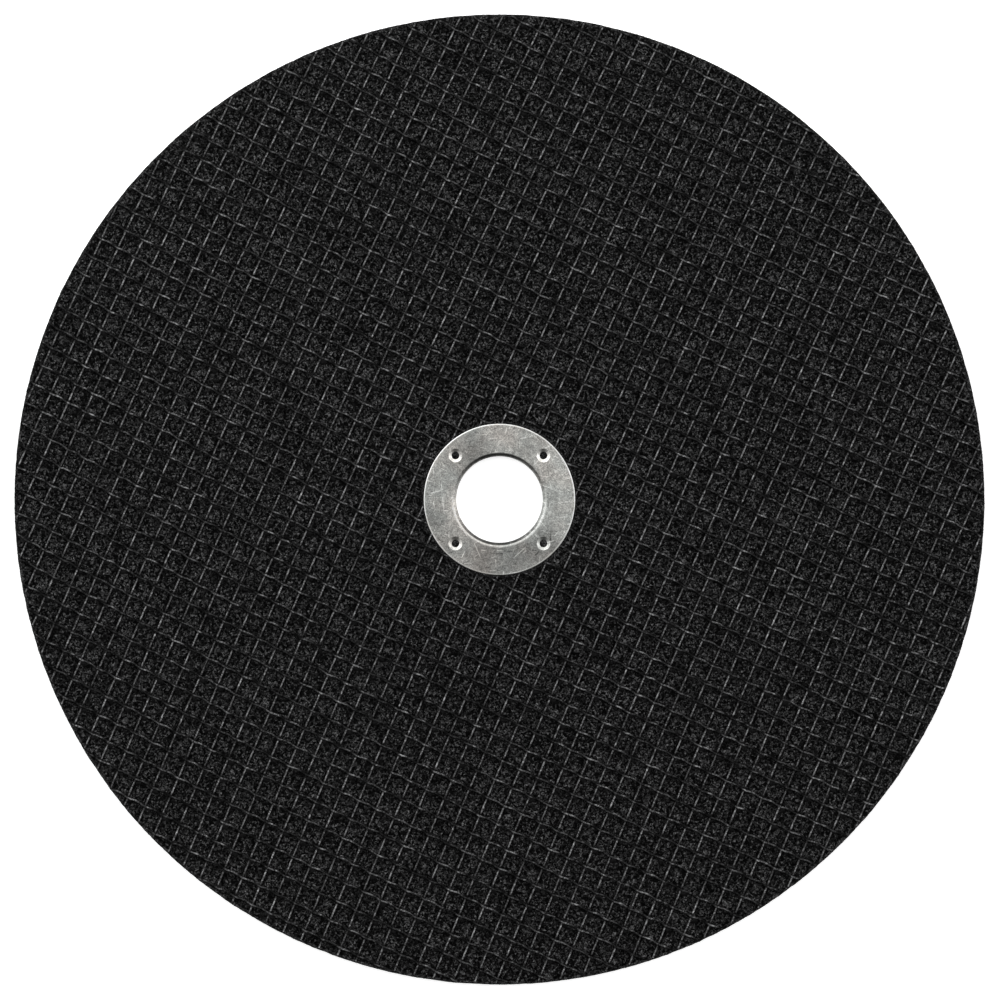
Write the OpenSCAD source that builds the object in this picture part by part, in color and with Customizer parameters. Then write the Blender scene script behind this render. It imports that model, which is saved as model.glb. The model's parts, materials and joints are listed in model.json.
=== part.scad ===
// Reinforced abrasive cut-off wheel, lying on its back face.
// The origin is on the bore's axis, on the surface that the wheel lies on, and +Z runs up the axis.

/* [Abrasive body] */
// Outside diameter of the wheel
wheel_d = 250; // [150:1:400]
// Thickness of the bonded abrasive body, between its two meshes
body_t = 2.4; // [1.8:0.1:6]
// Bevel worn on both edges of the rim
rim_bevel = 0.25; // [0.1:0.05:0.6]

/* [Reinforcing mesh] */
// Spacing of the strands of the first set, which lie on the body
warp_pitch = 4.97; // [3:0.01:10]
// Spacing of the strands of the second set, which cross over the first
weft_pitch = 5.06; // [3:0.01:10]
// Direction of the first set, in degrees from +X
warp_angle = 66; // [0:0.5:180]
// Angle from the second set to the first, in degrees
crossing_angle = 92.9; // [70:0.1:110]
// Width of one strand
strand_w = 0.7; // [0.4:0.05:1.4]
// Height of one strand
strand_h = 0.14; // [0.1:0.01:0.4]
// Width of the flat crown along the top of a strand
strand_crown = 0.35; // [0.1:0.05:0.4]
// Height of a strand's sides, up to where they turn in to the crown
strand_side = 0.06; // [0.02:0.01:0.09]
// Place of the bore's axis between two strands of the first set, as a share of the spacing
warp_phase = 0.49; // [0:0.01:1]
// Place of the bore's axis between two strands of the second set, as a share of the spacing
weft_phase = 0.24; // [0:0.01:1]
// Distance from the rim to the cut ends of the strands
mesh_margin = 0.6; // [0.3:0.1:4]

/* [Arbor ring] */
// Bore of the ring, for a 7/8 inch arbor
bore_d = 22.23; // [16:0.01:32]
// Thickness of the ring's steel sheet
sheet_t = 0.5; // [0.35:0.05:0.8]
// Width of the flange, from the bore's wall to the flange's edge
flange_w = 8.4; // [7:0.1:14]
// Depth that the flange is let into the front face of the body
flange_seat = 0.1; // [0.05:0.05:0.5]
// Inner radius of the bend from the collar into the flange
flange_bend = 0.5; // [0.2:0.05:0.8]
// Rounding of the flange's upper edge
flange_edge = 0.25; // [0.05:0.05:0.3]
// Width of the lip that is rolled out at the back, from the bore's wall to the lip's edge
lip_w = 2.4; // [1.8:0.1:4]
// Depth that the lip is let into the back face of the body
lip_seat = 0.2; // [0.05:0.05:0.5]
// Inner radius of the bend from the collar into the lip
lip_bend = 0.3; // [0.1:0.05:0.6]
// Gap round the ring where it sits in the body
ring_fit = 0.05; // [0.02:0.01:0.2]

/* [Anchor points] */
// Number of points pierced through the flange
anchor_count = 4; // [3:1:8]
// Distance from the flange's edge to the middle of an anchor point
anchor_inset = 3.5; // [2.5:0.1:4]
// Diameter of the pierced hole
anchor_d = 2; // [1:0.1:2.6]
// Width of the dished mouth round the hole
anchor_mouth = 0.75; // [0.3:0.05:0.9]
// Depth of the dished mouth
anchor_dish = 0.4; // [0.1:0.05:0.45]
// Wall of the prong that is drawn down round the hole
prong_wall = 0.35; // [0.2:0.05:0.5]
// Length of the prong below the flange
prong_l = 0.7; // [0.3:0.05:1]

/* [Hidden] */
$fn = 96;
// Overlap of a cut with what it cuts away
cut = 1;
// Air between the two sets of strands where they cross
strand_gap = 0.02;
// Shortest length of strand that is left at the rim, seen as a height of arc
least_arc = 1;

// Radii
wheel_r = wheel_d / 2;
bore_r = bore_d / 2;
collar_r = bore_r + sheet_t;
flange_r = bore_r + flange_w;
lip_r = bore_r + lip_w;
flange_seat_r = flange_r + ring_fit;
lip_seat_r = lip_r + ring_fit;
anchor_r = anchor_d / 2;
prong_r = anchor_r + prong_wall;
anchor_circle_r = flange_r - anchor_inset;

// Heights
mesh_t = 2 * strand_h + strand_gap;
back_z = max(mesh_t, sheet_t - lip_seat);
front_z = back_z + body_t;
lip_z = back_z + lip_seat - sheet_t;
lip_top_z = lip_z + sheet_t;
flange_z = front_z - flange_seat;
flange_top_z = flange_z + sheet_t;

// A rectangle in the profile plane, between two radii and two heights
module band(r_in, r_out, z_low, z_high) {
    translate([r_in, z_low]) square([r_out - r_in, z_high - z_low]);
}

// Section of a sheet that turns through a quarter circle, with the middle of the bend at the origin
module quarter_bend(r_inside) {
    intersection() {
        difference() {
            circle(r_inside + sheet_t);
            circle(r_inside);
        }
        translate([-r_inside - sheet_t, 0]) square(r_inside + sheet_t);
    }
}

// Section of the abrasive body, with the seats that take the ring
module body_section() {
    difference() {
        polygon([
            [collar_r + ring_fit, back_z],
            [wheel_r - rim_bevel, back_z],
            [wheel_r, back_z + rim_bevel],
            [wheel_r, front_z - rim_bevel],
            [wheel_r - rim_bevel, front_z],
            [collar_r + ring_fit, front_z]
        ]);
        band(0, flange_seat_r, flange_z, front_z + cut);
        band(0, lip_seat_r, back_z - cut, lip_top_z);
        // The bore's edges are broken to clear the bends of the ring
        polygon([
            [collar_r, flange_z - flange_bend],
            [collar_r + ring_fit, flange_z - flange_bend],
            [collar_r + ring_fit + flange_bend, flange_z],
            [collar_r, flange_z]
        ]);
        polygon([
            [collar_r, lip_top_z],
            [collar_r + ring_fit + lip_bend, lip_top_z],
            [collar_r + ring_fit, lip_top_z + lip_bend],
            [collar_r, lip_top_z + lip_bend]
        ]);
    }
}

// Copies its children to every anchor point
module at_anchors() {
    for (i = [0 : anchor_count - 1])
        rotate(360 / anchor_count * (i + 0.5)) translate([anchor_circle_r, 0]) children();
}

// The pressed and cured body, with a socket for each prong of the ring
module abrasive_disc() {
    color([0.09, 0.09, 0.095]) difference() {
        rotate_extrude() body_section();
        at_anchors() translate([0, 0, flange_z - prong_l - ring_fit])
            cylinder(r = prong_r + ring_fit, h = prong_l + ring_fit + cut);
    }
}

// Cross-section of one strand: flat below, with sloped shoulders up to its crown
module strand_section() {
    polygon([
        [-strand_w / 2, 0],
        [strand_w / 2, 0],
        [strand_w / 2, strand_side],
        [strand_crown / 2, strand_h],
        [-strand_crown / 2, strand_h],
        [-strand_w / 2, strand_side]
    ]);
}

// One set of parallel strands along X, cut to the round of the mesh and to the ring's seat in it
module strand_set(pitch, phase, inner_r) {
    mesh_r = wheel_r - mesh_margin;
    reach = mesh_r - least_arc - strand_w / 2;
    intersection() {
        for (i = [ceil(-reach / pitch - phase) : floor(reach / pitch - phase)])
            translate([-mesh_r, (i + phase) * pitch])
                rotate([90, 0, 90]) linear_extrude(2 * mesh_r) strand_section();
        difference() {
            translate([0, 0, -cut]) cylinder(r = mesh_r, h = strand_h + 2 * cut);
            translate([0, 0, -2 * cut]) cylinder(r = inner_r, h = strand_h + 4 * cut);
        }
    }
}

// The mesh as it lies on a face at height 0, with the second set over the first
module mesh(inner_r) {
    rotate(warp_angle) strand_set(warp_pitch, warp_phase, inner_r);
    translate([0, 0, strand_h + strand_gap])
        rotate(warp_angle - crossing_angle) strand_set(weft_pitch, weft_phase, inner_r);
}

module front_mesh() {
    color([0.16, 0.16, 0.165]) translate([0, 0, front_z]) mesh(flange_seat_r);
}

module back_mesh() {
    color([0.16, 0.16, 0.165]) translate([0, 0, back_z]) mirror([0, 0, 1]) mesh(lip_seat_r);
}

// Section of the ring: flange, collar and rolled lip of one sheet
module ring_section() {
    flange_bend_r = collar_r + flange_bend;
    lip_bend_r = collar_r + lip_bend;
    difference() {
        band(flange_bend_r, flange_r, flange_z, flange_top_z);
        difference() {
            band(flange_r - flange_edge, flange_r + cut, flange_top_z - flange_edge, flange_top_z + cut);
            translate([flange_r - flange_edge, flange_top_z - flange_edge]) circle(flange_edge);
        }
    }
    translate([flange_bend_r, flange_z - flange_bend]) quarter_bend(flange_bend);
    band(bore_r, collar_r, lip_top_z + lip_bend, flange_z - flange_bend);
    translate([lip_bend_r, lip_top_z + lip_bend]) mirror([0, 1]) quarter_bend(lip_bend);
    band(lip_bend_r, lip_r, lip_z, lip_top_z);
}

// Room inside one anchor point: the pierced hole and its dished mouth
module anchor_hole() {
    mouth_r = anchor_r + anchor_mouth;
    rotate_extrude() polygon([
        [0, -prong_l - cut],
        [anchor_r, -prong_l - cut],
        [anchor_r, sheet_t - anchor_dish],
        [mouth_r, sheet_t],
        [mouth_r, sheet_t + cut],
        [0, sheet_t + cut]
    ]);
}

// The pressed steel ring
module arbor_ring() {
    color([0.66, 0.66, 0.65]) difference() {
        union() {
            rotate_extrude() ring_section();
            at_anchors() translate([0, 0, flange_z - prong_l])
                cylinder(r = prong_r, h = prong_l + sheet_t / 2);
        }
        at_anchors() translate([0, 0, flange_z]) anchor_hole();
    }
}

abrasive_disc();
front_mesh();
back_mesh();
arbor_ring();
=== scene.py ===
import json
import math
import random

import bmesh
import bpy
from bpy.props import FloatProperty, FloatVectorProperty, IntProperty, PointerProperty
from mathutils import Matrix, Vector, noise


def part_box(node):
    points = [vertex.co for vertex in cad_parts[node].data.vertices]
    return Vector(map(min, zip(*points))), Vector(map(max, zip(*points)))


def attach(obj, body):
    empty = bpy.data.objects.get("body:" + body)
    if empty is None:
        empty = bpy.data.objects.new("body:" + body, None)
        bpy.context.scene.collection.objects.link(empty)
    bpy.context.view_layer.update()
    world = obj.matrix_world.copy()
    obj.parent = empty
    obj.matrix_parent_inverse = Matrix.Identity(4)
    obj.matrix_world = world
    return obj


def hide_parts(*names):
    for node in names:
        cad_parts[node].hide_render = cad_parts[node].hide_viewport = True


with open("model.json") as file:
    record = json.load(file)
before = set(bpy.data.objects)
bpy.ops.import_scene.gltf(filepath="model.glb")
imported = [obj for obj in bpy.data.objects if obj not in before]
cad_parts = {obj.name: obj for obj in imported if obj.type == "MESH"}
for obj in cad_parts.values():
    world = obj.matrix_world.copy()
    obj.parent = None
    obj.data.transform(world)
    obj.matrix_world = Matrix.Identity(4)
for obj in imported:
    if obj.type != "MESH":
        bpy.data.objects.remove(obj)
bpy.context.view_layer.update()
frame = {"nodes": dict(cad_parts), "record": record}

bl_info = {
    "name": "Reinforced cut-off wheel",
    "version": (1, 0, 0),
    "blender": (4, 5, 0),
    "location": "3D View > Sidebar > Cut-off wheel",
    "description": "Builds a resin-bonded cut-off wheel with its glass mesh, grit and steel arbor ring",
    "category": "Add Mesh",
}

MM = 0.001

# The solids give the heights and radii that every piece is fitted to.
BODY_LOW, BODY_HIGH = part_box("abrasive_disc")
MOUNTS = {mount["name"]: mount for mount in frame["record"]["mounts"]}
WHEEL_R = BODY_HIGH.x
FRONT_Z = BODY_HIGH.z
BACK_Z = BODY_LOW.z
FLANGE_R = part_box("arbor_ring")[1].x
BORE_R = MOUNTS["arbor_bore"]["dims"]["r_mm"] * MM
MESH_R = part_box("front_mesh")[1].x


# Settings

class WheelBodySettings(bpy.types.PropertyGroup):
    """Sizes and colour of the bonded abrasive body"""

    bevel: FloatProperty(
        name="Rim bevel", description="Bevel on both edges of the rim", default=0.25 * MM, unit="LENGTH")
    fit: FloatProperty(
        name="Ring fit", description="Gap round the ring in its seat", default=0.05 * MM, unit="LENGTH")
    sheet: FloatProperty(
        name="Ring sheet", description="Thickness of the ring's steel", default=0.5 * MM, unit="LENGTH")
    flange_seat: FloatProperty(
        name="Flange seat", description="Depth of the seat of the flange", default=0.1 * MM, unit="LENGTH")
    lip_seat: FloatProperty(
        name="Lip seat", description="Depth of the seat of the rolled lip", default=0.2 * MM, unit="LENGTH")
    lip_width: FloatProperty(
        name="Lip width", description="Width of the rolled lip from the bore", default=2.4 * MM,
        unit="LENGTH")
    flange_break: FloatProperty(
        name="Front edge break", description="Break of the bore's front edge", default=0.5 * MM,
        unit="LENGTH")
    lip_break: FloatProperty(
        name="Back edge break", description="Break of the bore's back edge", default=0.3 * MM, unit="LENGTH")
    spokes: IntProperty(name="Spokes", description="Steps round the body", default=1080)
    rim_steps: IntProperty(name="Rim steps", description="Steps across the rim", default=7)
    rim_chip: FloatProperty(
        name="Rim chip", description="Deepest loss of grit on the rim", default=0.22 * MM, unit="LENGTH")
    bed: FloatProperty(
        name="Bed", description="Depth of the body's faces under the relief of grain", default=0.28 * MM,
        unit="LENGTH")
    tint: FloatVectorProperty(
        name="Resin colour", description="Charcoal of the bonded grit", subtype="COLOR",
        default=(0.0096, 0.0096, 0.0097))


class WheelStrandSettings(bpy.types.PropertyGroup):
    """Lay of the glass mesh"""

    warp_pitch: FloatProperty(
        name="Warp pitch", description="Spacing of the first set", default=4.97 * MM, unit="LENGTH")
    weft_pitch: FloatProperty(
        name="Weft pitch", description="Spacing of the second set", default=5.06 * MM, unit="LENGTH")
    warp_angle: FloatProperty(
        name="Warp angle", description="Direction of the first set", default=math.radians(66),
        unit="ROTATION")
    weft_angle: FloatProperty(
        name="Weft angle", description="Direction of the second set", default=math.radians(-26.88),
        unit="ROTATION")
    warp_phase: FloatProperty(
        name="Warp phase", description="Place of the axis between two strands", default=0.488,
        min=0.0, max=1.0, subtype="FACTOR")
    weft_phase: FloatProperty(
        name="Weft phase", description="Place of the axis between two strands", default=0.241,
        min=0.0, max=1.0, subtype="FACTOR")
    warp_bow: FloatProperty(
        name="Warp bow", description="Sideways bow of the first set at the rim", default=-1.95 * MM,
        unit="LENGTH")
    warp_fan: FloatProperty(
        name="Warp fan", description="Fanning out of the first set", default=-1.73 * MM, unit="LENGTH")
    warp_crowd: FloatProperty(
        name="Warp crowd", description="Crowding of the first set towards one side", default=-0.43 * MM,
        unit="LENGTH")
    weft_bow: FloatProperty(
        name="Weft bow", description="Sideways bow of the second set at the rim", default=2.13 * MM,
        unit="LENGTH")
    weft_fan: FloatProperty(
        name="Weft fan", description="Fanning out of the second set", default=-1.88 * MM, unit="LENGTH")
    weft_crowd: FloatProperty(
        name="Weft crowd", description="Crowding of the second set towards one side", default=-1.53 * MM,
        unit="LENGTH")
    warp_width: FloatProperty(
        name="Warp width", description="Width of a strand of the first set", default=0.58 * MM, unit="LENGTH")
    weft_width: FloatProperty(
        name="Weft width", description="Width of a strand of the second set", default=0.62 * MM,
        unit="LENGTH")
    thickness: FloatProperty(
        name="Thickness", description="Depth of a strand's section", default=0.3 * MM, unit="LENGTH")
    warp_level: FloatProperty(
        name="Warp level", description="Crown of the first set between crossings", default=0.2 * MM,
        unit="LENGTH")
    warp_rise: FloatProperty(
        name="Warp rise", description="How far the first set climbs at a crossing", default=-0.14 * MM,
        unit="LENGTH")
    weft_level: FloatProperty(
        name="Weft level", description="Crown of the second set between crossings", default=0.14 * MM,
        unit="LENGTH")
    weft_rise: FloatProperty(
        name="Weft rise", description="How far the second set climbs at a crossing", default=0.1 * MM,
        unit="LENGTH")
    warp_lead: FloatProperty(
        name="Warp lead", description="From a crossing to the barest place, as a share of a cell",
        default=0.5, min=0.0, max=1.0, subtype="FACTOR")
    weft_lead: FloatProperty(
        name="Weft lead", description="From a crossing to the barest place, as a share of a cell",
        default=0.24, min=0.0, max=1.0, subtype="FACTOR")
    warp_arch: FloatProperty(
        name="Warp arch", description="Sideways arch from crossing to crossing", default=0.0, unit="LENGTH")
    weft_arch: FloatProperty(
        name="Weft arch", description="Sideways arch from crossing to crossing", default=0.16 * MM,
        unit="LENGTH")
    wander: FloatProperty(
        name="Wander", description="Sideways wander of one strand", default=0.22 * MM, unit="LENGTH")
    front_step: FloatProperty(
        name="Front step", description="Length of one segment on the front", default=0.95 * MM, unit="LENGTH")
    back_step: FloatProperty(
        name="Back step", description="Length of one segment on the back", default=2.0 * MM, unit="LENGTH")
    swell: FloatProperty(
        name="Swell", description="Unevenness of a strand's height", default=0.36 * MM, unit="LENGTH")
    warp_tint: FloatVectorProperty(
        name="Warp colour", description="Worn glass yarn", subtype="COLOR", default=(0.086, 0.086, 0.087))
    weft_tint: FloatVectorProperty(
        name="Weft colour", description="Yarn under resin", subtype="COLOR", default=(0.0530, 0.0530, 0.0535))


class WheelReliefSettings(bpy.types.PropertyGroup):
    """Crushed grain packed over the two faces"""

    front_step: FloatProperty(
        name="Front step", description="Spacing of the grains' corners on the front", default=0.66 * MM,
        unit="LENGTH")
    back_step: FloatProperty(
        name="Back step", description="Spacing of the grains' corners on the back", default=0.82 * MM,
        unit="LENGTH")
    height: FloatProperty(
        name="Height", description="Reach of the grains above and below the face", default=0.24 * MM,
        unit="LENGTH")
    margin: FloatProperty(
        name="Margin", description="Distance from the rim and the ring to the grain", default=0.2 * MM,
        unit="LENGTH")
    groove: FloatProperty(
        name="Groove", description="How far the grain sinks beside a strand", default=0.13 * MM,
        unit="LENGTH")
    seed: IntProperty(name="Seed", description="Places and heights of the grains", default=7)


class WheelGritSettings(bpy.types.PropertyGroup):
    """Grains that stand out of the resin"""

    face_size: FloatProperty(
        name="Face grain", description="Reach of a grain on the front", default=0.29 * MM, unit="LENGTH")
    rim_size: FloatProperty(
        name="Rim grain", description="Reach of a grain on the rim", default=0.27 * MM, unit="LENGTH")
    face_per_area: FloatProperty(
        name="Face density", description="Grains per square metre of the front", default=0.5e6)
    rim_per_area: FloatProperty(
        name="Rim density", description="Grains per square metre of the rim", default=3.2e6)
    seed: IntProperty(name="Seed", description="Scatter of the grains", default=11)


class WheelPoolSettings(bpy.types.PropertyGroup):
    """Resin that has pooled in the corners of the weave, kept dark as painted shade below and to the right of
    each crossing
    """

    size: FloatProperty(name="Size", description="Half length of a pool", default=1.1 * MM, unit="LENGTH")
    depth: FloatProperty(name="Depth", description="Height of a pool", default=0.1 * MM, unit="LENGTH")
    lift: FloatProperty(
        name="Lift", description="Height of a pool's middle above the face", default=-0.06 * MM,
        unit="LENGTH")
    shift_x: FloatProperty(
        name="Shift X", description="From a crossing to its pool", default=0.55 * MM, unit="LENGTH")
    shift_y: FloatProperty(
        name="Shift Y", description="From a crossing to its pool", default=-1.15 * MM, unit="LENGTH")
    margin: FloatProperty(
        name="Margin", description="Distance from the ring and the rim to a pool's middle", default=1.6 * MM,
        unit="LENGTH")
    seed: IntProperty(name="Seed", description="Sizes and turns of the pools", default=5)
    tint: FloatVectorProperty(
        name="Pool colour", description="Black resin", subtype="COLOR", default=(0.0070, 0.0070, 0.0071))


class WheelRingSettings(bpy.types.PropertyGroup):
    """Finish of the steel arbor ring"""

    tint: FloatVectorProperty(
        name="Steel colour", description="Dull zinc grey", subtype="COLOR", default=(0.478, 0.475, 0.465))


class WheelStageSettings(bpy.types.PropertyGroup):
    """Floor, lamps and camera"""

    frame_width: FloatProperty(
        name="Frame width", description="Width of the picture on the wheel's face", default=257.4 * MM,
        unit="LENGTH")
    lens: FloatProperty(
        name="Lens", description="Focal length in millimetres", default=135.0, unit="CAMERA")
    offset_x: FloatProperty(
        name="Offset X", description="Framing offset to the right", default=0.14 * MM, unit="LENGTH")
    offset_y: FloatProperty(
        name="Offset Y", description="Framing offset upwards", default=-0.13 * MM, unit="LENGTH")
    floor_size: FloatProperty(
        name="Floor size", description="Half the floor's side", default=6.0, unit="LENGTH")
    floor_tint: FloatVectorProperty(
        name="Floor colour", description="Pale floor", subtype="COLOR", default=(0.85, 0.85, 0.85))
    floor_glow: FloatProperty(
        name="Floor glow", description="White that the floor shows to the camera and in reflections",
        default=0.7)
    key_power: FloatProperty(
        name="Key power", description="Watts of the key lamp", default=2.1, unit="POWER")
    top_power: FloatProperty(
        name="Top power", description="Watts of the top lamp", default=1.26, unit="POWER")
    fill_power: FloatProperty(
        name="Fill power", description="Watts of the fill lamp", default=2.0, unit="POWER")


# Helpers for node trees

class Field:
    """One value in a node tree that takes ordinary arithmetic and adds Math nodes for it."""

    def __init__(self, tree, socket):
        self.tree = tree
        self.socket = socket

    def math(self, operation, *others):
        node = self.tree.nodes.new("ShaderNodeMath")
        node.operation = operation
        for socket, value in zip(node.inputs, (self, *others)):
            feed(self.tree, socket, value)
        return Field(self.tree, node.outputs[0])

    def __add__(self, other):
        return self.math("ADD", other)

    def __sub__(self, other):
        return self.math("SUBTRACT", other)

    def __mul__(self, other):
        return self.math("MULTIPLY", other)

    def __truediv__(self, other):
        return self.math("DIVIDE", other)


def feed(tree, socket, value):
    """Links a Field or a socket to a socket, or sets the socket's own value."""
    if isinstance(value, Field):
        tree.links.new(value.socket, socket)
    elif isinstance(value, bpy.types.NodeSocket):
        tree.links.new(value, socket)
    else:
        socket.default_value = value


def add(tree, kind, inputs=None, **options):
    """Adds a node, sets its options and feeds its inputs by name or number."""
    node = tree.nodes.new(kind)
    for name, value in options.items():
        setattr(node, name, value)
    for key, value in (inputs or {}).items():
        feed(tree, node.inputs[key], value)
    return node


def new_tree(name, inputs):
    """A geometry tree with one geometry input and output, and named inputs of the given kinds."""
    tree = bpy.data.node_groups.new(name, "GeometryNodeTree")
    face = tree.interface
    face.new_socket("Geometry", in_out="INPUT", socket_type="NodeSocketGeometry")
    for label, kind in inputs.items():
        face.new_socket(label, in_out="INPUT", socket_type=kind)
    face.new_socket("Geometry", in_out="OUTPUT", socket_type="NodeSocketGeometry")
    start = tree.nodes.new("NodeGroupInput")
    end = tree.nodes.new("NodeGroupOutput")
    return tree, start, end


def new_object(name, data):
    """A new object in the scene, at the origin."""
    thing = bpy.data.objects.new(name, data)
    bpy.context.scene.collection.objects.link(thing)
    return thing


def run_tree(name, mesh, tree, values):
    """Runs a geometry tree on a mesh and returns the result as a new object with a plain mesh."""
    source = new_object(name + "_source", mesh)
    modifier = source.modifiers.new("Build", "NODES")
    modifier.node_group = tree
    for item in tree.interface.items_tree:
        if item.item_type == "SOCKET" and item.in_out == "INPUT" and item.name in values:
            modifier[item.identifier] = values[item.name]
    graph = bpy.context.evaluated_depsgraph_get()
    result = bpy.data.meshes.new_from_object(source.evaluated_get(graph), depsgraph=graph)
    source.modifiers.remove(modifier)
    bpy.data.objects.remove(source)
    result.name = name
    if not result.polygons:
        raise RuntimeError(f"{name} came out empty")
    return new_object(name, result)


def face_outwards(mesh):
    """Turns every closed shell of a mesh so that its faces point outwards."""
    work = bmesh.new()
    work.from_mesh(mesh)
    bmesh.ops.recalc_face_normals(work, faces=work.faces)
    work.to_mesh(mesh)
    work.free()


def settle(piece, slot, *nodes):
    """Puts a piece on the wheel's one body and hides the solids that it stands for; its slot is not used."""
    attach(piece, "root")
    if nodes:
        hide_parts(*nodes)


# Materials

def new_material(name):
    """A material with an empty tree, its Principled shader and Object coordinates in millimetres."""
    material = bpy.data.materials.new(name)
    material.use_nodes = True
    tree = material.node_tree
    tree.nodes.clear()
    output = tree.nodes.new("ShaderNodeOutputMaterial")
    shader = tree.nodes.new("ShaderNodeBsdfPrincipled")
    tree.links.new(shader.outputs[0], output.inputs["Surface"])
    place = tree.nodes.new("ShaderNodeTexCoord").outputs["Object"]
    scale = add(tree, "ShaderNodeVectorMath", {0: place, "Scale": 1 / MM}, operation="SCALE")
    return material, tree, shader, scale.outputs[0]


def ramp(tree, value, low, high, to_low=0.0, to_high=1.0):
    """Maps a value from one range to another, held at the ends."""
    node = add(tree, "ShaderNodeMapRange", {0: value, 1: low, 2: high, 3: to_low, 4: to_high})
    return Field(tree, node.outputs[0])


def shade(tree, tint, factor):
    """A colour or a vector multiplied by a value."""
    node = add(tree, "ShaderNodeVectorMath", {0: tint, "Scale": factor}, operation="SCALE")
    return node.outputs[0]


def noise_value(tree, place, per_mm, detail=2.0, roughness=0.5):
    """Noise with so many features per millimetre."""
    node = add(tree, "ShaderNodeTexNoise", {
        "Vector": place, "Scale": per_mm, "Detail": detail, "Roughness": roughness})
    return Field(tree, node.outputs[0])


def bump(tree, shader, height, depth):
    """Feeds a height between 0 and 1 to the shader's normal."""
    node = add(tree, "ShaderNodeBump", {"Height": height, "Distance": depth, "Strength": 1.0})
    tree.links.new(node.outputs[0], shader.inputs["Normal"])


def attribute_value(tree, name):
    """The value of one of a mesh's own attributes."""
    return Field(tree, add(tree, "ShaderNodeAttribute", attribute_name=name).outputs["Fac"])


def parts_of(tree, vector):
    """The x, y and z of a vector."""
    return [Field(tree, part) for part in add(tree, "ShaderNodeSeparateXYZ", {0: vector}).outputs]


def facing_up(tree):
    """The z of the surface's normal."""
    return parts_of(tree, tree.nodes.new("ShaderNodeNewGeometry").outputs["Normal"])[2]


def resin_material(tint):
    """Black resin over crushed grain: each facet has a tone of its own, and a few of them glint."""
    material, tree, shader, place = new_material("resin_bonded_grit")
    # On the relief of the faces the glint attribute also holds painted shade beside the strands and across each
    # cell
    glint = attribute_value(tree, "glint")
    fine = noise_value(tree, place, 2.8, 3.0, 0.65)
    patch = noise_value(tree, place, 0.05, 2.0)
    tone = glint.math("POWER", 2.6) * 7.6 + 0.08
    tone = tone * ramp(tree, fine, 0.42, 0.64, 0.04, 2.3) * ramp(tree, patch, 0.3, 0.7, 0.93, 1.07)
    feed(tree, shader.inputs["Base Color"], shade(tree, tint, tone))
    feed(tree, shader.inputs["Roughness"], ramp(tree, fine, 0.35, 0.7, 0.7, 0.45))
    shader.inputs["Specular IOR Level"].default_value = 0.03
    bump(tree, shader, fine, 0.3 * MM)
    return material


def pool_material(tint):
    """Black resin that has run together in the corners of the weave, its darkness below and to the right of
    each crossing painted shade.
    """
    material, tree, shader, place = new_material("pooled_resin")
    fine = noise_value(tree, place, 1.8, 3.0, 0.6)
    feed(tree, shader.inputs["Base Color"], shade(tree, tint, ramp(tree, fine, 0.36, 0.64, 0.5, 1.5)))
    shader.inputs["Roughness"].default_value = 0.55
    shader.inputs["Specular IOR Level"].default_value = 0.03
    bump(tree, shader, fine, 0.2 * MM)
    return material


def grain_material(tint):
    """Crushed grain under a thin coat of resin, each grain with a tone of its own."""
    material, tree, shader, place = new_material("coated_grain")
    glint = attribute_value(tree, "glint")
    fine = noise_value(tree, place, 3.0, 2.0)
    tone = glint.math("POWER", 3.0) * 10.0 + ramp(tree, fine, 0.3, 0.7, 0.2, 1.0)
    feed(tree, shader.inputs["Base Color"], shade(tree, tint, tone))
    feed(tree, shader.inputs["Roughness"], ramp(tree, glint, 0.3, 1.0, 0.6, 0.36))
    shader.inputs["Specular IOR Level"].default_value = 0.2
    bump(tree, shader, fine, 0.06 * MM)
    return material


def strand_material(name, tint, cover, worn, bare, gloss):
    """Glass yarn under resin, worn bright along its crown, with painted shade that keeps its flanks dark.

    cover: range of brightness over whole cells; worn: range in patches of a few millimetres; bare: range of the
    strand's own attribute and of the brightness along it from crossing to crossing; gloss: its specular level.
    """
    material, tree, shader, place = new_material(name)
    shown = attribute_value(tree, "bare")
    slow = noise_value(tree, place, 0.23, 0.0)
    patch = noise_value(tree, place, 0.4, 2.0, 0.6)
    coarse = noise_value(tree, place, 1.1, 2.0, 0.6)
    fine = noise_value(tree, place, 2.7, 1.0, 0.6)
    # Painted shade: the flanks, which face sideways, are kept far darker than the crown
    crown = ramp(tree, facing_up(tree).math("ABSOLUTE"), 0.68, 0.95, 0.05, 1.0)
    tone = ramp(tree, patch, 0.38, 0.64, *worn) * ramp(tree, shown, *bare) * crown
    tone = tone * ramp(tree, slow, 0.41, 0.59, *cover)
    tone = tone * ramp(tree, coarse, 0.36, 0.64, 0.45, 1.55) * ramp(tree, fine, 0.36, 0.64, 0.28, 1.72)
    feed(tree, shader.inputs["Base Color"], shade(tree, tint, tone))
    feed(tree, shader.inputs["Roughness"], ramp(tree, patch, 0.3, 0.7, 0.62, 0.4))
    shader.inputs["Specular IOR Level"].default_value = gloss
    bump(tree, shader, fine, 0.2 * MM)
    return material


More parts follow.
